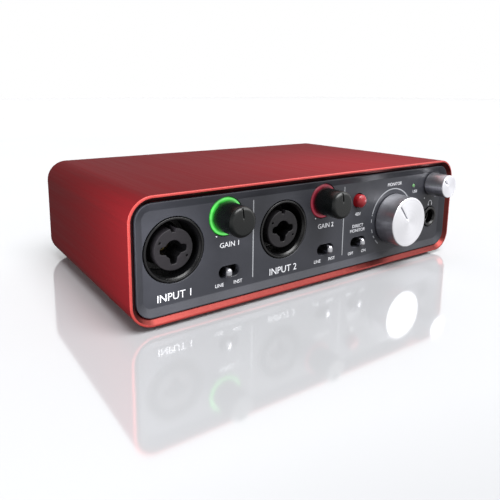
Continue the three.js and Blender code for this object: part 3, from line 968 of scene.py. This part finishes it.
def foot(name):
    """A rubber foot with a rounded edge and a shallow dish under it."""
    low, high = box_mm(name)
    x, y = (low.x + high.x) / 2, (low.y + high.y) / 2
    radius = (high.x - low.x) / 2
    profile = filleted(
        [
            (radius, high.z, 0),
            (radius, low.z, 0.6),
            (radius - 1.6, low.z, 0.15),
            (radius - 2, low.z + 0.3, 0.1),
        ]
    )
    shell = Shell()
    outlines = [(circle(x, y, r, 48)(), height) for r, height in profile]
    rings = [shell.ring([(*point, height) for point in outline]) for outline, height in outlines]
    for a, b in zip(rings, rings[1:]):
        shell.bridge(a, b)
    shell.fill(rings[0])
    shell.fill(rings[-1])
    place(shell.build(name + "_pad", RUBBER), "chassis", "rubber_black", name)


# ---- Printing ----

INK_ABOVE, INK_UNDER = 0.03, 0.02  # ink stands this little above a panel and reaches just under it
INK_FRONT, INK_BACK = FACE - INK_ABOVE, FACE + INK_UNDER
CAPITALS = 0.7  # the height of the font's capitals, as a part of its size


def bar(x, z, width, height):
    return rounded_rect(x, z, width, height, min(width, height) * 0.4, 3)


def arc_band(x, z, radius, width, start, end):
    """The outline of a stretch of ring, its angles in degrees counterclockwise from the right."""
    count = max(2, round(abs(end - start) / 4))

    def points(grow=0):
        turns = [math.radians(start + (end - start) * i / count) for i in range(count + 1)]
        outer, inner = radius + width / 2 + grow, radius - width / 2 - grow
        there = [(x + outer * math.cos(a), z + outer * math.sin(a)) for a in turns]
        back = [(x + inner * math.cos(a), z + inner * math.sin(a)) for a in reversed(turns)]
        return there + back

    return points


class Print(Shell):
    """Words and marks of thin raised ink on one panel; mirrored on the one that faces back."""

    def __init__(self, front, back, mirrored=False):
        super().__init__()
        self.front, self.back, self.mirrored = front, back, mirrored

    def mark(self, outline):
        self.prism(outline, self.front, self.back)

    def word(self, text, x, z, height):
        """A word centred at (x, z) with capitals of a height."""
        curve = bpy.data.curves.new("word", "FONT")
        curve.body = text
        curve.size = height / CAPITALS * MM
        curve.resolution_u = 3
        curve.align_x, curve.align_y = "CENTER", "CENTER"
        curve.extrude = abs(self.back - self.front) / 2 * MM
        writer = bpy.data.objects.new("word", curve)
        letters = bpy.data.meshes.new_from_object(writer)
        upright = Matrix.Rotation(math.pi / 2, 4, "X")
        facing = Matrix.Rotation(math.pi if self.mirrored else 0, 4, "Z")
        at = Vector((x, (self.front + self.back) / 2, z)) * MM
        letters.transform(Matrix.Translation(at) @ facing @ upright)
        self.mesh.from_mesh(letters)
        bpy.data.objects.remove(writer)
        bpy.data.curves.remove(curve)
        bpy.data.meshes.remove(letters)

    def finished(self, name, material):
        bmesh.ops.remove_doubles(self.mesh, verts=self.mesh.verts, dist=WELD)
        place(self.build(name, material), "chassis", "silver")


def front_print():
    """The words and small marks on the front, each placed from the part that it names."""
    ink = Print(INK_FRONT, INK_BACK)
    for number, name in enumerate(INPUTS, 1):
        x = centre(name + "_core")[0]
        ink.word(f"INPUT {number}", x, SLEEVE_LOW.z + 8.4, 2.8)
    for name in GAINS:
        x, z = centre(name + "_knob")
        ink.word("GAIN " + name[-1], x + 1.6, z - 10.9, 2.0)
        end_marks(ink, x, z, 8.3)
    labels = {"switch_1": ("LINE", "INST"), "switch_2": ("LINE", "INST"), "switch_3": ("OFF", "ON")}
    for name, (left, right) in labels.items():
        x, z = centre(name + "_body")
        ink.word(left, x - 4.4, z - 4.8, 1.35)
        ink.word(right, x + 4.0, z - 4.8, 1.35)
    x, z = centre("phantom_button")
    ink.word("48V", x, z - 6.2, 1.6)
    x, z = centre("switch_3_body")
    ink.word("DIRECT", x - 0.6, z + 7.5, 1.45)
    ink.word("MONITOR", x - 0.6, z + 5.4, 1.45)
    x, z = centre("monitor_knob")
    ink.word("MONITOR", x + 0.8, z + 16.2, 1.5)
    x, z = centre("usb_light")
    ink.word("USB", x + 1.1, z - 3.0, 1.4)
    headphone_sign(ink)
    end_marks(ink, *centre("phones_knob"), 8.1)
    ink.finished("front_words", INK)


def end_marks(ink, x, z, radius):
    """A dot at each end of a knob's turn, in degrees clockwise from the top."""
    for turn in (-148, 148):
        a = math.radians(turn)
        ink.mark(circle(x + radius * math.sin(a), z + radius * math.cos(a), 0.3, 12))


def headphone_sign(ink):
    """A head band with two ear cups, above the headphone jack."""
    x, jack_z = centre("phones_jack_collar")
    z = jack_z + 6.9
    ink.mark(arc_band(x, z, 1.35, 0.32, 0, 180))
    for side in (-1, 1):
        ink.mark(bar(x + side * 1.3, z - 0.55, 0.62, 1.15))


def front_lines():
    """The dividers between the channels and the scale round the monitor knob."""
    ink = Print(INK_FRONT, INK_BACK)
    input_2_x = centre("input_2_core")[0]
    gain_2_x = centre("gain_2_knob")[0]
    width, height = 0.45, 30.7
    for line_x in (input_2_x - 15.3, gain_2_x + 12.2):
        ink.mark(bar(line_x, MID_Z + 0.7, width, height))
    x, z = centre("monitor_knob")
    radius, thickness = 14.1, 0.5
    scale = ((-35, 165), (166.5, 168.5), (175, 181), (195, 202), (209, 214), (220, 231))
    for start, end in scale:
        ink.mark(arc_band(x, z, radius, thickness, start, end))
    ink.finished("front_lines", DIM_INK)


def rear_print():
    ink = Print(REAR_FACE + INK_ABOVE, REAR_FACE - INK_UNDER, mirrored=True)
    for name, word in (("line_out_left", "LEFT"), ("line_out_right", "RIGHT")):
        x, z = centre(name + "_nut")
        ink.word(word, x, z - 10.5, 1.9)
    (left, z), (right, _) = centre("line_out_left_nut"), centre("line_out_right_nut")
    ink.word("LINE OUTPUTS", (left + right) / 2, z + 11, 2.2)
    x, z = centre("usb_port_shell")
    ink.word("USB", x, z + 9.5, 2.2)
    ink.finished("rear_words", INK)


# ---- Nodes that show as they are ----

CARRIED = {
    "main_board": BOARD,
    "control_board": BOARD,
    "board_header": CHIP,
    "panel_bracket_left": STEEL,
    "panel_bracket_right": STEEL,
    "usb_chip": CHIP,
    "converter_chip": CHIP,
    "capacitor_left": SILVER,
    "capacitor_right": SILVER,
    "phantom_switch": CHIP,
    "lock_plate": STEEL,
}
for knob_name in (*GAINS, "monitor", "phones"):
    CARRIED[knob_name + "_shaft"] = STEEL
    CARRIED[knob_name + "_pot"] = STEEL
for switch_name in SWITCHES:
    CARRIED[switch_name + "_body"] = CHIP


def finish_carried_nodes():
    for name, material in CARRIED.items():
        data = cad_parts[name].data
        data.materials.clear()
        data.materials.append(material)


# ---- Assembly ----

sleeve()
front_panel()
rear_panel()
for name in INPUTS:
    input_shell(name)
    input_core(name)
for name, glow, slot in (("gain_1", GREEN_LIGHT, "green_lens"), ("gain_2", RED_LIGHT, "red_lens")):
    light_ring(name, glow, slot)
    knob(name, SOFT_BLACK, "soft_black", (1.5, 6.2), -6, 1.5)
knob("monitor", SILVER, "silver", (2, 10), -39, 0.5, MONITOR_FACE)
knob("phones", SILVER, "silver", (1.5, 4.8), -50, 0.4, PHONES_FACE)
for name in SWITCHES:
    lever(name)
phantom_cap()
usb_lens()
phones_bezel()
low, high = box_mm("phones_jack")
jack_body("phones_jack", low.y, high.y)
for name in LINE_OUTS:
    low, high = box_mm(name + "_jack")
    jack_body(name + "_jack", high.y, low.y, 4.4)
    line_out_nut(name)
for name in SCREWS:
    rear_screw(name)
usb_port()
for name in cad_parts:
    if name.startswith("foot_"):
        foot(name)
front_print()
front_lines()
rear_print()
finish_carried_nodes()

# ---- Camera, floor and light ----

CAMERA_AT = Vector((-146.4, -192.3, 80.9)) * MM
YAW, PITCH, ROLL = (math.radians(a) for a in (33.02, 10.22, 0.13))


def camera():
    data = bpy.data.cameras.new("camera")
    data.sensor_width = 36
    data.lens = 35.97
    data.shift_x, data.shift_y = 0.0561, -0.1369
    data.clip_start = 0.01
    viewer = bpy.data.objects.new("camera", data)
    turned = Matrix.Rotation(-YAW, 4, "Z") @ Matrix.Rotation(math.pi / 2 - PITCH, 4, "X")
    viewer.matrix_world = Matrix.Translation(CAMERA_AT) @ turned @ Matrix.Rotation(ROLL, 4, "Z")
    bpy.context.scene.collection.objects.link(viewer)
    bpy.context.scene.camera = viewer


FLOOR_TONE = (0.68, 0.69, 0.715)


def floor():
    """A wide glossy floor. The sky below the horizon stands for the light it would give back."""
    nodes = Surface("pale_floor", Roughness=0.08, IOR=3.4)
    paler = tuple(1.03 * c for c in FLOOR_TONE)
    nodes.colour(nodes.ramp(nodes.noise(6, 2, 0.5), [(0.3, FLOOR_TONE), (0.7, paler)]))
    data = bpy.data.meshes.new("floor")
    reach = 6.0
    corners = [(-reach, -reach, 0), (reach, -reach, 0), (reach, reach, 0), (-reach, reach, 0)]
    data.from_pydata(corners, [], [(0, 1, 2, 3)])
    data.materials.append(nodes.material)
    ground = bpy.data.objects.new("floor", data)
    bpy.context.scene.collection.objects.link(ground)
    ground.visible_diffuse = ground.visible_glossy = False
    return ground


def tell_floor(lamp, ground, state):
    """Keeps a lamp's light off the floor (EXCLUDE), or on the floor alone (INCLUDE)."""
    told = bpy.data.collections.new(lamp.name + "_floor")
    told.objects.link(ground)
    lamp.light_linking.receiver_collection = told
    told.collection_objects[0].light_linking.link_state = state


def softbox(name, at, aim, size, power, ground):
    """A square light aimed at a point, its light kept off the floor; places in metres."""
    data = bpy.data.lights.new(name, "AREA")
    data.size = size
    data.energy = power
    lamp = bpy.data.objects.new(name, data)
    away = Vector(at) - Vector(aim)
    lamp.matrix_world = Matrix.Translation(at) @ away.to_track_quat("Z", "Y").to_matrix().to_4x4()
    lamp.visible_camera = False
    bpy.context.scene.collection.objects.link(lamp)
    tell_floor(lamp, ground, "EXCLUDE")
    return lamp


OVERHEAD = 0.32  # brightness of the sky above; it is 1 at the horizon and behind the object
BELOW = 0.15  # brightness of what the object's own surfaces see below the horizon
LEFT = 0.7  # brightness of the sky on the left
KEY, KEY_SPREAD = 3.4, 45  # strength of the key light, and its width in degrees
KEY_FROM = (0.05, -0.42, 0.86)  # the direction that it comes from


def sky():
    """White round the horizon and up the wall behind, and dimmer overhead, below and on the left."""
    world = bpy.data.worlds.new("studio")
    nodes = Nodes(world)
    direction = nodes.add("ShaderNodeTexCoord").outputs["Generated"]
    parts = nodes.add("ShaderNodeSeparateXYZ")
    nodes.link(direction, parts.inputs["Vector"])
    right, back, up = parts.outputs
    height = nodes.maths("MULTIPLY_ADD", nodes.maths("MAXIMUM", back, 0), -0.6, up)
    tone = nodes.ramp(height, [(0.24, (1, 1, 1)), (0.6, (OVERHEAD, OVERHEAD, OVERHEAD))])
    from_below = nodes.between(up, BELOW, 1, -0.6, -0.1)
    from_left = nodes.between(right, LEFT, 1, -0.6, 0.0)
    background = nodes.tree.nodes["Background"]
    nodes.link(tone, background.inputs["Color"])
    nodes.link(nodes.maths("MULTIPLY", from_below, from_left), background.inputs["Strength"])
    bpy.context.scene.world = world


def broad_light(ground):
    """The key light, once for the object and once for the floor, which doesn't mirror it."""
    for name, state in (("key_light", "EXCLUDE"), ("floor_light", "INCLUDE")):
        data = bpy.data.lights.new(name, "SUN")
        data.energy = KEY
        data.angle = math.radians(KEY_SPREAD)
        lamp = bpy.data.objects.new(name, data)
        lamp.matrix_world = Vector(KEY_FROM).to_track_quat("Z", "Y").to_matrix().to_4x4()
        lamp.visible_glossy = state == "EXCLUDE"
        bpy.context.scene.collection.objects.link(lamp)
        tell_floor(lamp, ground, state)


def studio(ground):
    """The sky, the key light, a large softbox and two small ones close to the side and the top."""
    bpy.context.scene.view_settings.view_transform = "Standard"
    sky()
    broad_light(ground)
    front, middle = SLEEVE_LOW.y * MM, MID_Z * MM
    near_front = front + 0.015
    panel = (0, front, middle)
    left_side = (SLEEVE_LOW.x * MM, near_front, middle)
    top = (0.03, near_front, SLEEVE_HIGH.z * MM)
    softbox("softbox_above", (0.13, -0.17, 0.22), panel, 0.28, 0.8, ground)
    near_side = softbox("softbox_left", (-0.14, -0.08, 0.045), left_side, 0.05, 0.28, ground)
    near_top = softbox("softbox_top", (0.035, -0.045, 0.12), top, 0.06, 0.22, ground)
    near_side.visible_glossy = near_top.visible_glossy = False


camera()
studio(floor())
